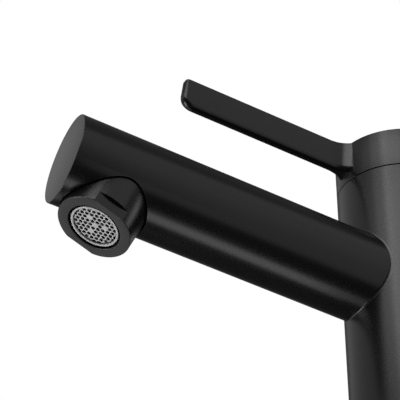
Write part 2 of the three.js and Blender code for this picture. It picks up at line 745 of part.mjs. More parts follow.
function baseInsert() {
  const from = SEAL_RING_T + FIT;
  const to = from + INSERT_T;
  const hoses = new THREE.Shape();
  hoses.absarc(HOSE_HALF_SPREAD, HOSE_AT, HOSE_R, -Math.PI / 2, Math.PI / 2, false);
  hoses.absarc(-HOSE_HALF_SPREAD, HOSE_AT, HOSE_R, Math.PI / 2, 3 * Math.PI / 2, false);
  const slot = pushed(hoses, from - OVERRUN, to + OVERRUN);
  const hole = rod(STUD_R + FIT, from - OVERRUN, to + OVERRUN, SMALL, 0, STUD_AT);
  return rod(coreR, from, to, FINE).subtract(slot).subtract(hole);
}

// A horseshoe plate: the open side faces forward and lets the hoses through.
function horseshoe(top) {
  const under = top - PLATE_T;
  const cut = [under - OVERRUN, top + OVERRUN];
  const slot = rod(PLATE_SLOT_R, ...cut, PLAIN, 0, PLATE_SLOT_AT);
  const mouth = block([-PLATE_SLOT_R, PLATE_SLOT_R], [-PLATE_R - OVERRUN, PLATE_SLOT_AT], cut);
  const hole = rod(STUD_R + FIT, ...cut, SMALL, 0, STUD_AT);
  const disc = rod(PLATE_R, under, top, FINE);
  return disc.subtract(slot).subtract(mouth).subtract(hole);
}

const gasketTop = -DECK_T;
const washerTop = gasketTop - PLATE_T - FIT;
const nutTop = washerTop - PLATE_T - FIT;

addPiece(mixer, 'base_insert', 'brass', baseInsert());
addPiece(mixer, 'base_seal', 'rubber', ring(coreR, coreR - SEAL_RING_W, 0, SEAL_RING_T));
addPiece(mixer, 'mounting_stud', 'steel',
  rod(STUD_R, -STUD_BELOW, SEAL_RING_T + INSERT_T, SMALL, 0, STUD_AT));
addPiece(mixer, 'horseshoe_gasket', 'rubber', horseshoe(gasketTop));
addPiece(mixer, 'horseshoe_washer', 'steel', horseshoe(washerTop));
const fixingNut = hexBar(NUT_M8_FLATS, nutTop - NUT_M8_T, nutTop, 0, STUD_AT);
const nutThread = rod(STUD_R + FIT, nutTop - NUT_M8_T - OVERRUN, nutTop + OVERRUN, SMALL, 0, STUD_AT);
addPiece(mixer, 'mounting_nut', 'steel', fixingNut.subtract(nutThread));

export default mixer;
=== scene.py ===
"""Looks of a single-lever bathroom mixer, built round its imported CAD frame.

Metres, +Z up. The origin is on the body's axis at the deck, and the spout and lever point along -Y.
Sizes in this script are in millimetres and become metres where a mesh is made.
"""

import json
import math

import bmesh
import bpy
from mathutils import Matrix, Vector


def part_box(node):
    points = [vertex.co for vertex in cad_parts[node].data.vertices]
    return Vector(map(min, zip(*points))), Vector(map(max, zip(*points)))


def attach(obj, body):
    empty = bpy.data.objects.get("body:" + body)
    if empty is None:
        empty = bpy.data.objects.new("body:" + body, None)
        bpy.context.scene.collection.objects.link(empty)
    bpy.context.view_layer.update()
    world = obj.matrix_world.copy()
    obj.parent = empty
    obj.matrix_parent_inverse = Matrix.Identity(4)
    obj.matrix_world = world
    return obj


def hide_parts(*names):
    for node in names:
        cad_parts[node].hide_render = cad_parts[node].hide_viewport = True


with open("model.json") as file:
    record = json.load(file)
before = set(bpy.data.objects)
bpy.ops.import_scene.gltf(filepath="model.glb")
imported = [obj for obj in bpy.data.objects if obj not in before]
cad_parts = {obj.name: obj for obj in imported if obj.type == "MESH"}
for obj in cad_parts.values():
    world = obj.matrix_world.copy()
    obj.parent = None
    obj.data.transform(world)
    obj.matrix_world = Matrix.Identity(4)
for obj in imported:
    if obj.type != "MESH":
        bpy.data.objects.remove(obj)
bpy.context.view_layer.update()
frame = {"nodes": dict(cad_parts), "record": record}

MM = 0.001

# ------------------------------------------------------------------------------------------------
# Sizes, in millimetres: from the frame where a node's box gives them, else as the CAD model has
# them
# ------------------------------------------------------------------------------------------------


def mm_box(node):
    """A CAD node's lowest and highest corner in millimetres."""
    low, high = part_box(node)
    return low / MM, high / MM


body_corner = mm_box("body_shell")[1]

# Body and cap
BODY_R = body_corner.x
BODY_WALL = 2.5
BODY_TOP = body_corner.z
CAP_TOP = 165.0
CAP_H = 16.1
CAP_WALL = 2.8
CAP_ROOF = 7.1

# Spout, along its own axis from the body's axis
SPOUT_R = 16.9
SPOUT_WALL = 2.0
SPOUT_END_WALL = 2.5
SPOUT_DROP = 61.1
SPOUT_REACH = 143.0
SPOUT_PITCH = math.radians(9)

# Nozzle and aerator, along their own axis from the spout's axis
NOZZLE_AT = 119.7
NOZZLE_TILT = math.radians(72.3)
NOZZLE_R = 14.1
NOZZLE_RIM = 24.5
NOZZLE_SHOULDER = 8.5
NECK_R = 11.9
NOZZLE_BORE_R = 10.9
LIP_R = 10.0
LIP_T = 2.5
WRENCH_FLATS = 25.6
FLAT_DEPTH = 4.3
CUP_R = 10.6
CUP_MOUTH_R = 9.25
CUP_MOUTH_WALL = 0.9
CUP_WALL = 1.0
CUP_RECESS = 0.4
CUP_BACK = 9.2
GRID_RECESS = 0.7
GRID_T = 2.2
GRID_PITCH = 1.88
GRID_HOLE_R = 0.82
GRID_EDGE = 0.08
GRID_SPAN = 4.4      # holes kept, in pitches from the centre
GRID_POSTS = ((0, 0), (0, -2), (2, 1), (-2, 1))      # solid cells, by row and column
CELL_SOFTNESS = 0.3  # a hole's corner radius as a share of its radius

# Lever and its pivot
FIT = 0.3            # gap between two pieces that touch
PIVOT_Z = 146.0
LIFT_MAX = math.radians(20)
RELIEF_EXTRA = math.radians(1.5)
LEVER_LEN = 70.4
LEVER_T = 4.36
LEVER_H = 12.6
LEVER_PITCH = math.radians(8.9)
LEVER_TIP_LOW_R = 5.5
LEVER_TIP_TOP_R = 1.3
FLARE_R = 11.0
FLARE_START = 7.0
LEVER_TOP_EDGE = 0.7
LEVER_LOW_EDGE = 2.05
LEVER_TIP_EDGE = 2.0
BLADE_FROM = -3.7    # the blade starts this far from the cap's front, inside the cap
BLADE_TIP = 6.0      # length of the blade that is sliced finely

# Rounding of edges
EDGE = 0.3           # painted edges
CAP_EDGE = 0.5       # rim of the cap's top
SEAM_EDGE = 0.1      # each side of the seam under the cap
HIDDEN_EDGE = 0.2    # edges inside the body and the nozzle
FINE_EDGE = 0.1      # thin edges round the aerator
LIP_EDGE = 0.25
MOUTH_EDGE = 0.28    # the aerator's pale ring
BEAD = 0.7           # where the spout meets the body
BEAD_SINK = 0.02     # the bead's foot lies this far below the body's surface
NOZZLE_GAP = 0.6     # dark joint round the nozzle
OVERRUN = 5.0        # cutting tools run this far past what they cut

# ------------------------------------------------------------------------------------------------
# Mesh helpers
# ------------------------------------------------------------------------------------------------

ROUND = 192          # sides of the large round pieces
AERATOR_SIDES = 128  # sides of the aerator's ring and disc
NUT_SIDES = 96       # sides of the nut's turned faces
HOLE_SIDES = 64      # sides of the stud's holes
PLUG_SIDES = 48      # sides of the screw cover
SMOOTH_ANGLE = math.radians(32)


def finish_mesh(mesh, sharp=SMOOTH_ANGLE):
    """Smooth shading, with edges steeper than the given angle kept sharp."""
    mesh.shade_smooth()
    mesh.set_sharp_from_angle(angle=sharp)
    mesh.update()


def add_object(name, mesh):
    piece = bpy.data.objects.new(name, mesh)
    bpy.context.scene.collection.objects.link(piece)
    return piece


def from_bmesh(name, bm, sharp=SMOOTH_ANGLE):
    bmesh.ops.recalc_face_normals(bm, faces=bm.faces)
    mesh = bpy.data.meshes.new(name)
    bm.to_mesh(mesh)
    bm.free()
    finish_mesh(mesh, sharp)
    return add_object(name, mesh)


def rounded(points, steps=5):
    """A closed outline of (x, y, radius) corners with each corner turned into an arc."""
    outline = []
    count = len(points)
    for i, (x, y, radius) in enumerate(points):
        here = Vector((x, y))
        if radius == 0:
            outline.append((x, y))
            continue
        back = Vector(points[i - 1][:2]) - here
        ahead = Vector(points[(i + 1) % count][:2]) - here
        half = back.angle(ahead) / 2
        reach = radius / math.tan(half)
        inward = (back.normalized() + ahead.normalized()).normalized()
        centre = here + inward * (radius / math.sin(half))
        start = here + back.normalized() * reach - centre
        end = here + ahead.normalized() * reach - centre
        sweep = start.angle_signed(end)
        for step in range(steps + 1):
            arm = start.copy()
            arm.rotate(Matrix.Rotation(-sweep * step / steps, 2))
            outline.append(tuple(centre + arm))
    return outline


def turned(name, profile, place=Matrix(), sides=ROUND, steps=5, sharp=SMOOTH_ANGLE):
    """A closed (radius, height, corner radius) profile turned about the place's Z axis."""
    outline = rounded(profile, steps)
    bm = bmesh.new()
    rings = []
    for side in range(sides):
        turn = 2 * math.pi * side / sides
        spoke = []
        for r, z in outline:
            at = Vector((r * math.cos(turn), r * math.sin(turn), z)) * MM
            spoke.append(bm.verts.new(place @ at))
        rings.append(spoke)
    count = len(outline)
    for side in range(sides):
        here, there = rings[side], rings[(side + 1) % sides]
        for i in range(count):
            j = (i + 1) % count
            bm.faces.new((here[i], there[i], there[j], here[j]))
    bmesh.ops.remove_doubles(bm, verts=bm.verts, dist=1e-7)
    return from_bmesh(name, bm, sharp)


def prism(name, outline, low, high, place=Matrix(), sharp=SMOOTH_ANGLE):
    """A closed (x, y) outline pushed from one height to another."""
    bm = bmesh.new()
    floor = [bm.verts.new(place @ (Vector((x, y, low)) * MM)) for x, y in outline]
    roof = [bm.verts.new(place @ (Vector((x, y, high)) * MM)) for x, y in outline]
    count = len(outline)
    for i in range(count):
        j = (i + 1) % count
        bm.faces.new((floor[i], floor[j], roof[j], roof[i]))
    bm.faces.new(floor[::-1])
    bm.faces.new(roof)
    return from_bmesh(name, bm, sharp)


def box_outline(x, y):
    return [(x[0], y[0]), (x[1], y[0]), (x[1], y[1]), (x[0], y[1])]


def combine(piece, tool, operation):
    """Joins or cuts a piece with a tool piece, which is used up."""
    modifier = piece.modifiers.new("combine", "BOOLEAN")
    modifier.operation = operation
    modifier.object = tool
    modifier.solver = "EXACT"
    bake(piece)
    bpy.data.objects.remove(tool)
    return piece


def bake(piece):
    """Turns a piece's modifiers into its mesh."""
    graph = bpy.context.evaluated_depsgraph_get()
    mesh = bpy.data.meshes.new_from_object(piece.evaluated_get(graph))
    old = piece.data
    piece.modifiers.clear()
    piece.data = mesh
    bpy.data.meshes.remove(old)
    finish_mesh(mesh)


def soften(piece, width, angle=math.radians(35), segments=3):
    """Rounds a piece's sharp edges by a width in millimetres."""
    modifier = piece.modifiers.new("soften", "BEVEL")
    modifier.width = width * MM
    modifier.segments = segments
    modifier.limit_method = "ANGLE"
    modifier.angle_limit = angle
    modifier.use_clamp_overlap = True
    modifier.harden_normals = True
    bake(piece)


# ------------------------------------------------------------------------------------------------
# Materials
# ------------------------------------------------------------------------------------------------

BROAD_SCALE = 90             # cells per metre of the slow change of colour
WEAR_SCALE = 400             # cells per metre of the breaks in the worn edges
NOISE_SPAN = (0.3, 0.7)      # what a noise node gives nearly everywhere
WEAR_TURN = (0.01, 0.10)     # turn of the surface at which wear starts and is full
HOLLOW_SPAN = (0.5, 0.92)    # openness at which a hollow is fully dark and not dark at all
# Painted shade: the colour that hollows are darkened towards.
PAINTED_HOLLOW_SHADE = (0.004, 0.004, 0.004)
BEVEL_SAMPLES = 4
HOLLOW_SAMPLES = 12


def new_material(name):
    material = bpy.data.materials.new(name)
    material.use_nodes = True
    tree = material.node_tree
    tree.nodes.clear()
    output = tree.nodes.new("ShaderNodeOutputMaterial")
    shader = tree.nodes.new("ShaderNodeBsdfPrincipled")
    tree.links.new(shader.outputs["BSDF"], output.inputs["Surface"])
    return material, tree, shader


def noise(tree, scale, detail):
    """A noise node with its scale in cells per metre, in the object's own space."""
    node = tree.nodes.new("ShaderNodeTexNoise")
    node.inputs["Scale"].default_value = scale
    node.inputs["Detail"].default_value = detail
    place = tree.nodes.new("ShaderNodeTexCoord").outputs["Object"]
    tree.links.new(place, node.inputs["Vector"])
    return node


def spread(tree, source, span, low=0.0, high=1.0):
    """A source that runs over a span, mapped to run from low to high."""
    node = tree.nodes.new("ShaderNodeMapRange")
    node.inputs["From Min"].default_value, node.inputs["From Max"].default_value = span
    node.inputs["To Min"].default_value = low
    node.inputs["To Max"].default_value = high
    tree.links.new(source, node.inputs["Value"])
    return node.outputs["Result"]


def mixed(tree, kind, factor, first, second):
    """A mix of two values or colours, each a socket or a constant."""
    mix = tree.nodes.new("ShaderNodeMix")
    mix.data_type = kind
    tree.links.new(factor, mix.inputs["Factor"])
    for place, value in (("A", first), ("B", second)):
        if isinstance(value, bpy.types.NodeSocket):
            tree.links.new(value, mix.inputs[place])
        elif kind == "RGBA":
            mix.inputs[place].default_value = (*value, 1)
        else:
            mix.inputs[place].default_value = value
    return mix.outputs["Result"]


def add_bump(tree, shader, height, distance, strength):
    bump = tree.nodes.new("ShaderNodeBump")
    bump.inputs["Distance"].default_value = distance * MM
    bump.inputs["Strength"].default_value = strength
    tree.links.new(height, bump.inputs["Height"])
    tree.links.new(bump.outputs["Normal"], shader.inputs["Normal"])


def math_node(tree, operation, first, second):
    """A math node between two sources, each a socket or a number."""
    node = tree.nodes.new("ShaderNodeMath")
    node.operation = operation
    for place, value in enumerate((first, second)):
        if isinstance(value, (int, float)):
            node.inputs[place].default_value = value
        else:
            tree.links.new(value, node.inputs[place])
    return node.outputs["Value"]


def edge_mask(tree, width, breakup):
    """1 on edges and 0 on open faces: where a bevel of this width would turn the surface.

    breakup is a 0 to 1 source that leaves some of the edge unworn.
    """
    bevel = tree.nodes.new("ShaderNodeBevel")
    bevel.samples = BEVEL_SAMPLES
    bevel.inputs["Radius"].default_value = width * MM
    plain = tree.nodes.new("ShaderNodeNewGeometry")
    match = tree.nodes.new("ShaderNodeVectorMath")
    match.operation = "DOT_PRODUCT"
    tree.links.new(bevel.outputs["Normal"], match.inputs[0])
    tree.links.new(plain.outputs["Normal"], match.inputs[1])
    turn = math_node(tree, "SUBTRACT", 1.0, match.outputs["Value"])
    return math_node(tree, "MULTIPLY", spread(tree, turn, WEAR_TURN), breakup)


def paint_hollow_shade(tree, colour, reach):
    """Darkens a colour in hollows up to reach millimetres across: painted shade where little light
    gets in.
    """
    hollow = tree.nodes.new("ShaderNodeAmbientOcclusion")
    hollow.samples = HOLLOW_SAMPLES
    hollow.inputs["Distance"].default_value = reach * MM
    openness = spread(tree, hollow.outputs["AO"], HOLLOW_SPAN)
    return mixed(tree, "RGBA", openness, PAINTED_HOLLOW_SHADE, colour)


def surface_material(name, first, second, roughness, worn, worn_roughness, cell, bump,
                     metallic=0.0, strength=0.3, edge=0.4, hollows=0.0):
    """A finish that wanders between two colours and two roughnesses, with a fine bump.

    cell is the bump's size, bump its height, edge the width of the wear and hollows the reach of
    the painted shade in hollows, in millimetres. worn is the colour that the edges are rubbed to.
    """
    material, tree, shader = new_material(name)
    broad = noise(tree, BROAD_SCALE, 3)
    fine = noise(tree, 1 / (cell * MM), 3)
    wear = edge_mask(tree, edge, noise(tree, WEAR_SCALE, 4).outputs["Fac"])
    colour = mixed(tree, "RGBA", broad.outputs["Fac"], first, second)
    colour = mixed(tree, "RGBA", wear, colour, worn)
    if hollows:
        # painted shade: an ambient occlusion node darkens the colour in hollows
        colour = paint_hollow_shade(tree, colour, hollows)
    tree.links.new(colour, shader.inputs["Base Color"])
    unworn_roughness = spread(tree, fine.outputs["Fac"], NOISE_SPAN, *roughness)
    rubbed = mixed(tree, "FLOAT", wear, unworn_roughness, worn_roughness)
    tree.links.new(rubbed, shader.inputs["Roughness"])
    shader.inputs["Metallic"].default_value = metallic
    add_bump(tree, shader, fine.outputs["Fac"], bump, strength)
    return material


materials = {
    "black_paint": surface_material(
        "black_paint", (0.0045, 0.0045, 0.0047), (0.006, 0.006, 0.0063), (0.25, 0.30),
        worn=(0.03, 0.03, 0.031), worn_roughness=0.2,
        cell=0.4, bump=0.004, strength=0.08, edge=0.35),
    "brass": surface_material(
        "brass", (0.62, 0.44, 0.18), (0.74, 0.55, 0.26), (0.24, 0.36),
        worn=(0.86, 0.68, 0.38), worn_roughness=0.16,
        # hollows: painted shade in the insert's hollows
        cell=0.5, bump=0.01, metallic=1.0, hollows=3.0),
    "steel": surface_material(
        "steel", (0.52, 0.53, 0.55), (0.66, 0.67, 0.69), (0.22, 0.34),
        worn=(0.80, 0.81, 0.83), worn_roughness=0.14,
        cell=0.4, bump=0.008, metallic=1.0),
    "grey_plastic": surface_material(
        "grey_plastic", (0.60, 0.60, 0.60), (0.68, 0.68, 0.68), (0.40, 0.50),
        worn=(0.74, 0.74, 0.74), worn_roughness=0.35,
        # hollows: painted shade that darkens the honeycomb's holes
        cell=0.25, bump=0.006, edge=0.12, hollows=1.4),
    "white_plastic": surface_material(
        "white_plastic", (0.74, 0.74, 0.71), (0.80, 0.80, 0.77), (0.42, 0.52),
        worn=(0.86, 0.86, 0.84), worn_roughness=0.35,
        cell=0.3, bump=0.006),
    "black_plastic": surface_material(
        "black_plastic", (0.017, 0.017, 0.018), (0.024, 0.024, 0.026), (0.45, 0.58),
        worn=(0.05, 0.05, 0.05), worn_roughness=0.35,
        cell=0.3, bump=0.01),
    "rubber": surface_material(
        "rubber", (0.012, 0.012, 0.012), (0.022, 0.022, 0.022), (0.68, 0.82),
        worn=(0.045, 0.045, 0.045), worn_roughness=0.75,
        cell=0.4, bump=0.015),
    "ceramic": surface_material(
        "ceramic", (0.78, 0.77, 0.73), (0.84, 0.83, 0.79), (0.08, 0.16),
        worn=(0.88, 0.87, 0.84), worn_roughness=0.12,
        cell=0.6, bump=0.002),
}


def paint(piece, slot):
    piece.data.materials.clear()
    piece.data.materials.append(materials[slot])


def stand_for(piece, slot, body, *nodes):
    """A finished piece takes its material, rides on its body and stands for its CAD nodes."""
    paint(piece, slot)
    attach(piece, body)
    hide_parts(*nodes)
    return piece


for part in frame["record"]["subparts"]:
    paint(frame["nodes"][part["node"]], part["material_slot"])

# ------------------------------------------------------------------------------------------------
# Frames of the tilted parts
# ------------------------------------------------------------------------------------------------

spout_place = Matrix.Translation(Vector((0, 0, CAP_TOP - SPOUT_DROP)) * MM)
spout_place = spout_place @ Matrix.Rotation(math.pi / 2 - SPOUT_PITCH, 4, "X")
nozzle_place = spout_place @ Matrix.Translation(Vector((0, 0, NOZZLE_AT)) * MM)
nozzle_place = nozzle_place @ Matrix.Rotation(NOZZLE_TILT, 4, "X")

# ------------------------------------------------------------------------------------------------
# Body and spout
# ------------------------------------------------------------------------------------------------


def make_body():
    inner = BODY_R - BODY_WALL
    return turned("body_tube", [
        (inner, 0, HIDDEN_EDGE),
        (BODY_R, 0, EDGE),
        (BODY_R, BODY_TOP, SEAM_EDGE),
        (inner, BODY_TOP, HIDDEN_EDGE),
    ])


def on_body(point, radius):
    """A point in the spout's frame slid along the spout until it lies on the body's cylinder."""
    cos, sin = math.cos(SPOUT_PITCH), math.sin(SPOUT_PITCH)
    depth = math.sqrt(radius ** 2 - point.x ** 2)
    return Vector((point.x, point.y, (depth + point.y * sin) / cos))


def make_spout():
    """The spout's skin, with a small bead where it meets the body and a rounded rim at its end."""
    steps = 5
    bm = bmesh.new()
    spokes = []
    for side in range(ROUND):
        turn = 2 * math.pi * side / ROUND
        out = Vector((math.cos(turn), math.sin(turn), 0))
        corner = on_body(out * SPOUT_R, BODY_R)
        along = corner + Vector((0, 0, BEAD))
        aside = on_body(out * (SPOUT_R + BEAD), BODY_R)
        inside = on_body(out * (SPOUT_R - SPOUT_WALL), BODY_R + FIT)
        spoke = [inside, aside - Vector((0, 0, BEAD_SINK))]
        for step in range(steps + 1):
            t = step / steps
            spoke.append(aside * (1 - t) ** 2 + corner * 2 * t * (1 - t) + along * t ** 2)
        for step in range(steps + 1):
            t = math.pi / 2 * step / steps
            rim = SPOUT_R - EDGE + EDGE * math.cos(t)
            spoke.append(out * rim + Vector((0, 0, SPOUT_REACH - EDGE + EDGE * math.sin(t))))
        spokes.append([bm.verts.new(spout_place @ (p * MM)) for p in spoke])
    tip = bm.verts.new(spout_place @ (Vector((0, 0, SPOUT_REACH)) * MM))
    end_wall = Vector((0, 0, SPOUT_REACH - SPOUT_END_WALL))
    inside_tip = bm.verts.new(spout_place @ (end_wall * MM))
    inner = []
    for side in range(ROUND):
        turn = 2 * math.pi * side / ROUND
        out = Vector((math.cos(turn), math.sin(turn), 0)) * (SPOUT_R - SPOUT_WALL)
        inner.append(bm.verts.new(spout_place @ ((out + end_wall) * MM)))
    last = len(spokes[0]) - 1
    for side in range(ROUND):
        here, there = spokes[side], spokes[(side + 1) % ROUND]
        for i in range(last):
            bm.faces.new((here[i], there[i], there[i + 1], here[i + 1]))
        bm.faces.new((here[last], there[last], tip))
        bm.faces.new((here[0], there[0], inner[(side + 1) % ROUND], inner[side]))
        bm.faces.new((inner[side], inner[(side + 1) % ROUND], inside_tip))
    spout = from_bmesh("spout_skin", bm)
    opening = turned("opening", [
        (0, NOZZLE_SHOULDER - FIT, 0),
        (NOZZLE_R + NOZZLE_GAP, NOZZLE_SHOULDER - FIT, 0),
        (NOZZLE_R + NOZZLE_GAP, NOZZLE_RIM + OVERRUN, 0),
        (0, NOZZLE_RIM + OVERRUN, 0),
    ], nozzle_place)
    return combine(spout, opening, "DIFFERENCE")


stand_for(make_body(), "black_paint", "root", "body_shell")
stand_for(make_spout(), "black_paint", "root", "spout_tube")

# ------------------------------------------------------------------------------------------------
# Nozzle and aerator
# ------------------------------------------------------------------------------------------------


def make_housing():
    housing = turned("nozzle_collar", [
        (LIP_R, NOZZLE_RIM - LIP_T, FINE_EDGE),
        (LIP_R, NOZZLE_RIM, LIP_EDGE),
        (NOZZLE_R, NOZZLE_RIM, EDGE),
        (NOZZLE_R, NOZZLE_SHOULDER, HIDDEN_EDGE),
        (NECK_R, NOZZLE_SHOULDER, 0),
        (NECK_R, 0, HIDDEN_EDGE),
        (NOZZLE_BORE_R, 0, HIDDEN_EDGE),
        (NOZZLE_BORE_R, NOZZLE_RIM - LIP_T, 0),
    ], nozzle_place)
    half = WRENCH_FLATS / 2
    for side in (-1, 1):
        outline = box_outline(sorted((side * half, side * 2 * NOZZLE_R)), (-NOZZLE_R, NOZZLE_R))
        low, high = NOZZLE_RIM - FLAT_DEPTH, NOZZLE_RIM + OVERRUN
        tool = prism("flat", outline, low, high, nozzle_place)
        combine(housing, tool, "DIFFERENCE")
    return housing


def make_cup():
    front = NOZZLE_RIM - CUP_RECESS
    shoulder = NOZZLE_RIM - LIP_T - FIT
    mouth = CUP_MOUTH_R - CUP_MOUTH_WALL
    inner = CUP_R - CUP_WALL
    ledge = front - GRID_RECESS - GRID_T - FIT
    return turned("aerator_mouth", [
        (mouth, ledge, FINE_EDGE),
        (mouth, front, MOUTH_EDGE),
        (CUP_MOUTH_R, front, MOUTH_EDGE),
        (CUP_MOUTH_R, shoulder, FINE_EDGE),
        (CUP_R, shoulder, HIDDEN_EDGE),
        (CUP_R, CUP_BACK, HIDDEN_EDGE),
        (inner, CUP_BACK, HIDDEN_EDGE),
        (inner, ledge, FINE_EDGE),
    ], nozzle_place, sides=AERATOR_SIDES)


def circle(radius, sides, x=0.0, y=0.0):
    turns = [2 * math.pi * (i + 0.5) / sides for i in range(sides)]
    return [(x + radius * math.cos(t), y + radius * math.sin(t)) for t in turns]


def cell_outline(radius, x, y):
    """A hexagon with softened corners, three points to a corner."""
    softness = radius * CELL_SOFTNESS
    return rounded([(px, py, softness) for px, py in circle(radius, 6, x, y)], 2)


def add_tile(bm, x, y, front, back, pierced):
    """One six-sided tile of the lattice, solid or with a hole whose front edge is rounded."""
    def corners(outline, z):
        return [bm.verts.new(nozzle_place @ (Vector((px, py, z)) * MM)) for px, py in outline]

    tile = circle(GRID_PITCH / math.sqrt(3), 6, x, y)
    near, far = corners(tile, front), corners(tile, back)
    if not pierced:
        bm.faces.new(near)
        bm.faces.new(far[::-1])
        return
    curve = 0.3 * GRID_EDGE
    rims = [
        (GRID_HOLE_R + GRID_EDGE, front),
        (GRID_HOLE_R + curve, front - curve),
        (GRID_HOLE_R, front - GRID_EDGE),
        (GRID_HOLE_R, back),
    ]
    rings = [corners(cell_outline(r, x, y), z) for r, z in rims]
    count = len(rings[0])
    for here, there in zip(rings, rings[1:]):
        for i in range(count):
            j = (i + 1) % count
            bm.faces.new((here[i], here[j], there[j], there[i]))
    for k in range(6):
        n = (k + 1) % 6
        for outer, inner, turn in ((near, rings[0], 1), (far, rings[-1], -1)):
            near_next = [inner[3 * n + 1], inner[3 * n]]
            near_here = [inner[3 * k + 2], inner[3 * k + 1]]
            face = [outer[k], outer[n], *near_next, *near_here]
            bm.faces.new(face[::turn])


def make_grid():
    """The honeycomb plate: a lattice of tiles trimmed to a disc."""
    front = NOZZLE_RIM - CUP_RECESS - GRID_RECESS
    back = front - GRID_T
    row_step = GRID_PITCH * math.sin(math.pi / 3)
    reach = math.ceil(GRID_SPAN * 1.4)      # far enough to cover the disc's corners
    bm = bmesh.new()
    for row in range(-reach, reach + 1):
        for column in range(-reach, reach + 1):
            x = (column + row % 2 / 2) * GRID_PITCH
            y = row * row_step
            post = (row, column) in GRID_POSTS
            inside = math.hypot(x, y) <= GRID_SPAN * GRID_PITCH
            add_tile(bm, x, y, front, back, inside and not post)
    bmesh.ops.remove_doubles(bm, verts=bm.verts, dist=1e-6)
    rim = [edge for edge in bm.edges if edge.is_boundary]
    bmesh.ops.bridge_loops(bm, edges=rim)
    grid = from_bmesh("honeycomb_grid", bm)
    plate_r = CUP_MOUTH_R - CUP_MOUTH_WALL - FIT
    disc = turned("disc", [
        (0, back - 1, 0),
        (plate_r, back - 1, 0),
        (plate_r, front + 1, 0),
        (0, front + 1, 0),
    ], nozzle_place, sides=AERATOR_SIDES)
    return combine(grid, disc, "INTERSECT")


stand_for(make_housing(), "black_paint", "root", "aerator_housing")
stand_for(make_cup(), "grey_plastic", "root", "aerator_cup")
stand_for(make_grid(), "grey_plastic", "root", "aerator_grid")

# ------------------------------------------------------------------------------------------------
# Lever
# ------------------------------------------------------------------------------------------------


def blade_half_width(y):
    """Half the blade's thickness where it stands at y, flaring out towards the cap."""
    into = min(max(0.0, y + BODY_R + FLARE_START), FLARE_R * 0.99)      # short of a quarter turn
    return LEVER_T / 2 + FLARE_R - math.sqrt(FLARE_R ** 2 - into ** 2)


def shrink(left, radius):
    """How far a rounded corner of this radius has closed in, at a distance from the tip."""
    if left >= radius:
        return 0.0
    return radius - math.sqrt(radius ** 2 - (radius - left) ** 2)


def make_blade():
    """The blade as sections along its length, each a rounded upright slab."""
    along = Vector((0, -math.cos(LEVER_PITCH), math.sin(LEVER_PITCH)))
    up = Vector((0, math.sin(LEVER_PITCH), math.cos(LEVER_PITCH)))
    start = Vector((0, -BODY_R, CAP_TOP))
    slices, tip_slices, steps = 60, 24, 8
    tip_from = LEVER_LEN - BLADE_TIP
    stations = [BLADE_FROM + (tip_from - BLADE_FROM) * i / slices for i in range(slices)]
    tip_turns = [math.pi / 2 * i / tip_slices for i in range(tip_slices + 1)]
    stations += [LEVER_LEN - BLADE_TIP * math.cos(turn) for turn in tip_turns]
    turns = [math.pi / 2 * step / steps for step in range(steps + 1)]
    bm = bmesh.new()
    rings = []
    for t in stations:
        left = LEVER_LEN - t
        top = -shrink(left, LEVER_TIP_TOP_R)
        low = -LEVER_H + shrink(left, LEVER_TIP_LOW_R)
        slim = shrink(left, LEVER_TIP_EDGE)
        profile = []
        for turn in turns:
            cut, rise = LEVER_TOP_EDGE * (1 - math.sin(turn)), LEVER_TOP_EDGE * (1 - math.cos(turn))
            profile.append((cut, top - rise))
        for turn in turns:
            cut, rise = LEVER_LOW_EDGE * (1 - math.cos(turn)), LEVER_LOW_EDGE * (1 - math.sin(turn))
            profile.append((cut, low + rise))
        section = []
        for side, corners in ((1, profile), (-1, profile[::-1])):
            for inset, h in corners:
                spot = start + along * t + up * h
                half = blade_half_width(spot.y)
                width = (half - inset) * (1 - slim / half)
                section.append(bm.verts.new(Vector((side * width, spot.y, spot.z)) * MM))
        rings.append(section)
    count = len(rings[0])
    for here, there in zip(rings, rings[1:]):
        for i in range(count):
            j = (i + 1) % count
            bm.faces.new((here[i], here[j], there[j], there[i]))
    bm.faces.new(rings[0][::-1])
    bm.faces.new(rings[-1])
    return from_bmesh("blade", bm)


def make_lever():
    under = CAP_TOP - CAP_H
    roof = CAP_TOP - CAP_ROOF
    inner = BODY_R - CAP_WALL
    cap = turned("lever_cap", [
        (0, roof, 0),
        (inner, roof, CAP_EDGE),
        (inner, under, HIDDEN_EDGE),
        (BODY_R, under, SEAM_EDGE),
        (BODY_R, CAP_TOP, CAP_EDGE),
        (0, CAP_TOP, 0),
    ])
    combine(cap, make_blade(), "UNION")
    slope = LIFT_MAX + RELIEF_EXTRA
    place = Matrix.Translation(Vector((0, 0, under)) * MM) @ Matrix.Rotation(slope, 4, "X")
    wide = 60.0
    tool = prism("relief", box_outline((-wide, wide), (0, 2 * wide)), -wide, 0, place)
    combine(cap, tool, "DIFFERENCE")
    return cap


stand_for(make_lever(), "black_paint", "lever", "lever_handle")

# ------------------------------------------------------------------------------------------------
# Screw cover and cover ring under the cap
# ------------------------------------------------------------------------------------------------

SCREW_Z = CAP_TOP - CAP_ROOF / 2
PLUG_R = 2.5
PLUG_LEN = 3.0
PLUG_RECESS = 0.4
PLUG_DISH = 0.25
PLUG_RIM = 0.7       # width of the flat rim round the dish
SHROUD_H = 2.0
SHROUD_WALL = 1.4
SHROUD_CLEAR = 1.7
NECK_HOLE_R = 12.3


def make_plug():
    """A short plug with a dished face over the set screw's hole."""
    place = Matrix.Translation(Vector((0, 0, SCREW_Z)) * MM) @ Matrix.Rotation(-math.pi / 2, 4, "X")
    back = BODY_R - PLUG_RECESS
    floor_r = PLUG_R - PLUG_RIM - HIDDEN_EDGE
    return turned("screw_cover", [
        (0, back - PLUG_LEN, 0),
        (PLUG_R, back - PLUG_LEN, HIDDEN_EDGE),
        (PLUG_R, back, EDGE),
        (PLUG_R - PLUG_RIM, back, FINE_EDGE),
        (floor_r, back - PLUG_DISH, FINE_EDGE),
        (0, back - PLUG_DISH, 0),
    ], place, sides=PLUG_SIDES)


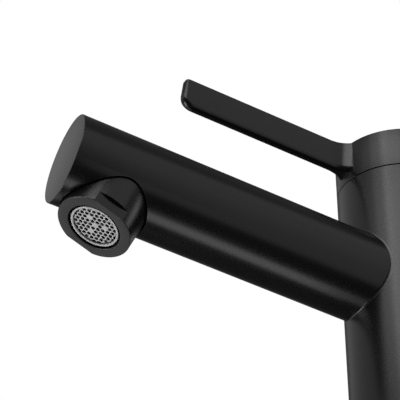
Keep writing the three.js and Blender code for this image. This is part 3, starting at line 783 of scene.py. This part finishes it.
def make_cover_ring():
    """The ring whose rim is part of a ball about the lift pivot."""
    ball = BODY_R - CAP_WALL - SHROUD_CLEAR
    foot = BODY_TOP + FIT
    top = foot + SHROUD_H
    steps = 8
    rim = []
    for step in range(steps + 1):
        z = foot + SHROUD_H * step / steps
        rim.append((math.sqrt(ball ** 2 - (z - PIVOT_Z) ** 2), z, 0))
    return turned("cover_ring", rim + [
        (NECK_HOLE_R, top, EDGE),
        (NECK_HOLE_R, top - SHROUD_WALL, HIDDEN_EDGE),
        (ball - SHROUD_WALL, top - SHROUD_WALL, EDGE),
        (ball - SHROUD_WALL, foot, HIDDEN_EDGE),
    ])


stand_for(make_plug(), "black_plastic", "lever", "index_plug")
stand_for(make_cover_ring(), "black_plastic", "root", "shroud_ring")

# ------------------------------------------------------------------------------------------------
# Base and the fixings under the deck
# ------------------------------------------------------------------------------------------------

CORE_R = 22.2
SEAL_RING_T = 2.0
SEAL_RING_W = 3.0
INSERT_T = 10.0
STUD_R = 4.0
STUD_ROOT_R = 3.4
STUD_PITCH = 1.25
STUD_AT = 12.0
STUD_BELOW = 58.0
HOSE_R = 7.5
HOSE_HALF_SPREAD = 6.5
HOSE_AT = -5.0
DECK_T = 30.0
PLATE_R = 25.0
PLATE_T = 3.0
PLATE_SLOT_R = 11.0
PLATE_SLOT_AT = -6.0
NUT_FLATS = 13.0
NUT_T = 6.5
NUT_FACE_INSET = 0.2 # the round face is this much inside the flats
NUT_TURNED_OFF = 0.75
NUT_SINK = 0.6
PLATE_EDGE = 0.4     # broken edges of the insert and the plates
SEAL_EDGE = 0.5
STUD_CHAMFER = 0.7
THREAD_FLANK = 2.8   # steepness of the thread's flanks
THREAD_ROOT = 0.2    # share of a flank's height that is cut off at the root


def arc(x, y, radius, start, end, steps=48):
    """Points along an arc, with its two angles in degrees."""
    turns = [math.radians(start + (end - start) * i / steps) for i in range(steps + 1)]
    return [(x + radius * math.cos(t), y + radius * math.sin(t)) for t in turns]


def cut_stud_hole(piece, low, high):
    hole = circle(STUD_R + FIT, HOLE_SIDES, 0, STUD_AT)
    return combine(piece, prism("hole", hole, low - OVERRUN, high + OVERRUN), "DIFFERENCE")


def make_insert():
    low = SEAL_RING_T + FIT
    high = low + INSERT_T
    insert = prism("base_block", circle(CORE_R, ROUND), low, high)
    outline = arc(HOSE_HALF_SPREAD, HOSE_AT, HOSE_R, -90, 90)
    outline += arc(-HOSE_HALF_SPREAD, HOSE_AT, HOSE_R, 90, 270)
    combine(insert, prism("hoses", outline, low - OVERRUN, high + OVERRUN), "DIFFERENCE")
    cut_stud_hole(insert, low, high)
    soften(insert, PLATE_EDGE)
    return insert


def make_seal():
    inner = CORE_R - SEAL_RING_W
    return turned("base_gasket", [
        (inner, 0, SEAL_EDGE),
        (CORE_R, 0, SEAL_EDGE),
        (CORE_R, SEAL_RING_T, SEAL_EDGE),
        (inner, SEAL_RING_T, SEAL_EDGE),
    ])


def make_stud():
    """The stud with its thread, and a chamfer at each end."""
    low, high = -STUD_BELOW, SEAL_RING_T + INSERT_T
    sides, per_turn = 40, 8
    count = round((high - low) / STUD_PITCH * per_turn)
    bm = bmesh.new()
    rings = []
    for i in range(count + 1):
        z = low + (high - low) * i / count
        limit = STUD_R - STUD_CHAMFER + min(z - low, high - z, STUD_CHAMFER)
        ring = []
        for side in range(sides):
            turn = 2 * math.pi * side / sides
            phase = (z / STUD_PITCH - side / sides) % 1
            flank = THREAD_FLANK * min(phase, 1 - phase) - THREAD_ROOT
            crest = min(max(flank, 0.0), 1.0)
            r = min(limit, STUD_ROOT_R + (STUD_R - STUD_ROOT_R) * crest)
            at = Vector((r * math.cos(turn), STUD_AT + r * math.sin(turn), z))
            ring.append(bm.verts.new(at * MM))
        rings.append(ring)
    for here, there in zip(rings, rings[1:]):
        for i in range(sides):
            j = (i + 1) % sides
            bm.faces.new((here[i], here[j], there[j], there[i]))
    bm.faces.new(rings[0][::-1])
    bm.faces.new(rings[-1])
    return from_bmesh("threaded_stud", bm)


def make_horseshoe(name, top):
    """A plate open to the front, with every edge broken."""
    mouth = math.degrees(math.asin(PLATE_SLOT_R / PLATE_R))
    outline = arc(0, 0, PLATE_R, mouth - 90, 270 - mouth, 144)
    outline += arc(0, PLATE_SLOT_AT, PLATE_SLOT_R, 180, 0)
    plate = prism(name, outline, top - PLATE_T, top)
    cut_stud_hole(plate, top - PLATE_T, top)
    soften(plate, PLATE_EDGE)
    return plate


def make_nut(top):
    """A nut with its corners turned off and a countersink at each end of its hole."""
    low = top - NUT_T
    corner = NUT_FLATS / math.sqrt(3)
    sixths = [math.pi / 3 * i for i in range(6)]
    hexagon = [(corner * math.cos(turn), corner * math.sin(turn)) for turn in sixths]
    place = Matrix.Translation(Vector((0, STUD_AT, 0)) * MM)
    nut = prism("fixing_nut", hexagon, low, top, place)
    face = NUT_FLATS / 2 - NUT_FACE_INSET
    outside = corner + 0.1
    combine(nut, turned("blank", [
        (0, low, 0),
        (face, low, 0),
        (outside, low + NUT_TURNED_OFF, 0),
        (outside, top - NUT_TURNED_OFF, 0),
        (face, top, 0),
        (0, top, 0),
    ], place, sides=NUT_SIDES), "INTERSECT")
    hole = STUD_R + FIT
    combine(nut, turned("countersunk", [
        (0, low - 1, 0),
        (hole + NUT_SINK + 1, low - 1, 0),
        (hole, low + NUT_SINK, 0),
        (hole, top - NUT_SINK, 0),
        (hole + NUT_SINK + 1, top + 1, 0),
        (0, top + 1, 0),
    ], place, sides=HOLE_SIDES), "DIFFERENCE")
    return nut


washer_top = -DECK_T - PLATE_T - FIT
stand_for(make_insert(), "brass", "root", "base_insert")
stand_for(make_seal(), "rubber", "root", "base_seal")
stand_for(make_stud(), "steel", "root", "mounting_stud")
stand_for(make_horseshoe("clamp_gasket", -DECK_T), "rubber", "root", "horseshoe_gasket")
stand_for(make_horseshoe("clamp_plate", washer_top), "steel", "root", "horseshoe_washer")
stand_for(make_nut(washer_top - PLATE_T - FIT), "steel", "root", "mounting_nut")

# ------------------------------------------------------------------------------------------------
# Stage, light and camera
# ------------------------------------------------------------------------------------------------

FLOOR_Z = -1.2
LOOK_AT = Vector((0, -0.0880, 0.1236))
CAMERA_AT = Vector((0.4474, -0.3089, -0.1955))
CAMERA_ROLL = math.radians(-0.273)
LENS = 146.3
DOME_LOW = 0.03              # radiance of the dome below
DOME_HIGH = 0.12             # and above
DOME_SPAN = (-0.1, 0.3)      # heights of a direction between which it changes
FLOOR_HALF = 12.0
FLOOR_GLOW = 0.55


def make_floor():
    bm = bmesh.new()
    corners = box_outline((-FLOOR_HALF, FLOOR_HALF), (-FLOOR_HALF, FLOOR_HALF))
    bm.faces.new([bm.verts.new((x, y, FLOOR_Z)) for x, y in corners])
    floor = from_bmesh("floor", bm)
    material, tree, shader = new_material("pale_floor")
    shader.inputs["Base Color"].default_value = (0.8, 0.8, 0.79, 1)
    shader.inputs["Roughness"].default_value = 0.8
    shader.inputs["Emission Color"].default_value = (1, 1, 1, 1)
    shader.inputs["Emission Strength"].default_value = FLOOR_GLOW
    floor.data.materials.append(material)
    floor.visible_diffuse = False
    floor.visible_glossy = False


def softbox(name, direction, size, radiance, distance=1.1, target=LOOK_AT):
    """A soft light in a direction from the mixer, size (width, height) in metres."""
    light = bpy.data.lights.new(name, "AREA")
    light.shape = "RECTANGLE"
    light.size, light.size_y = size
    light.energy = radiance * math.pi * size[0] * size[1]
    holder = bpy.data.objects.new(name, light)
    holder.location = target + Vector(direction).normalized() * distance
    holder.rotation_mode = "QUATERNION"
    holder.rotation_quaternion = (target - holder.location).to_track_quat("-Z", "Y")
    holder.visible_camera = False
    bpy.context.scene.collection.objects.link(holder)


def make_world():
    """White behind the mixer. What the surfaces mirror is a soft dome above and dark below."""
    world = bpy.data.worlds.new("studio")
    world.use_nodes = True
    bpy.context.scene.world = world
    tree = world.node_tree
    tree.nodes.clear()
    output = tree.nodes.new("ShaderNodeOutputWorld")
    seen = tree.nodes.new("ShaderNodeBackground")
    lit = tree.nodes.new("ShaderNodeBackground")
    seen.inputs["Color"].default_value = (1, 1, 1, 1)
    lit.inputs["Color"].default_value = (1, 1, 1, 1)
    parts = tree.nodes.new("ShaderNodeSeparateXYZ")
    direction = tree.nodes.new("ShaderNodeTexCoord").outputs["Generated"]
    tree.links.new(direction, parts.inputs["Vector"])
    dome = spread(tree, parts.outputs["Z"], DOME_SPAN, DOME_LOW, DOME_HIGH)
    tree.links.new(dome, lit.inputs["Strength"])
    path = tree.nodes.new("ShaderNodeLightPath")
    mix = tree.nodes.new("ShaderNodeMixShader")
    tree.links.new(path.outputs["Is Camera Ray"], mix.inputs["Fac"])
    tree.links.new(lit.outputs["Background"], mix.inputs[1])
    tree.links.new(seen.outputs["Background"], mix.inputs[2])
    tree.links.new(mix.outputs["Shader"], output.inputs["Surface"])


def make_camera():
    camera = bpy.data.cameras.new("camera")
    camera.lens = LENS
    camera.sensor_width = 36
    camera.clip_start, camera.clip_end = 0.01, 50
    holder = bpy.data.objects.new("camera", camera)
    holder.location = CAMERA_AT
    holder.rotation_mode = "QUATERNION"
    turn = (LOOK_AT - CAMERA_AT).to_track_quat("-Z", "Y")
    roll = Matrix.Rotation(CAMERA_ROLL, 4, "Z").to_quaternion()
    holder.rotation_quaternion = turn @ roll
    bpy.context.scene.collection.objects.link(holder)
    bpy.context.scene.camera = holder


make_floor()
make_world()
make_camera()

NOZZLE_SPOT = Vector((0, -0.125, 0.09))

# Name, direction from the mixer, (width, height) in metres, radiance, and for a near card its
# distance and what it faces
SOFTBOXES = (
    ("key_right", (0.692, -0.521, 0.58), (0.72, 0.55), 2.9),
    ("key_middle", (0.347, -0.793, 0.58), (0.48, 0.55), 1.45),
    ("key_front", (0.03, -0.866, 0.58), (0.39, 0.55), 0.5),
    ("side_wall", (0.91, 0.40, -0.12), (1.0, 1.35), 0.46),
    ("side_top", (0.76, 0.33, 0.68), (1.0, 0.6), 0.42),
    ("left_wall", (-0.633, -0.590, 0.50), (1.85, 0.75), 0.30),
    ("back_wall", (0.2, 0.945, 0.25), (0.35, 0.5), 1.6),
    ("below", (-0.03, 0.13, -0.99), (0.25, 0.8), 1.9, 0.7),
    ("rim_card", (-0.755, -0.21, -0.62), (0.24, 0.24), 0.75, 0.4, NOZZLE_SPOT),
    ("back_fill", (-0.45, 0.87, -0.18), (1.0, 1.0), 0.6),
    ("left_low", (-0.75, -0.62, -0.28), (0.9, 0.6), 0.5),
    ("top_card", (0.30, -0.30, 0.90), (0.14, 0.14), 3.0, 0.6, NOZZLE_SPOT),
    ("front_low", (-0.35, -0.80, -0.49), (0.5, 0.5), 6.4),
)
for light in SOFTBOXES:
    softbox(*light)

bpy.context.scene.view_settings.view_transform = "Standard"
bpy.context.scene.view_settings.look = "None"
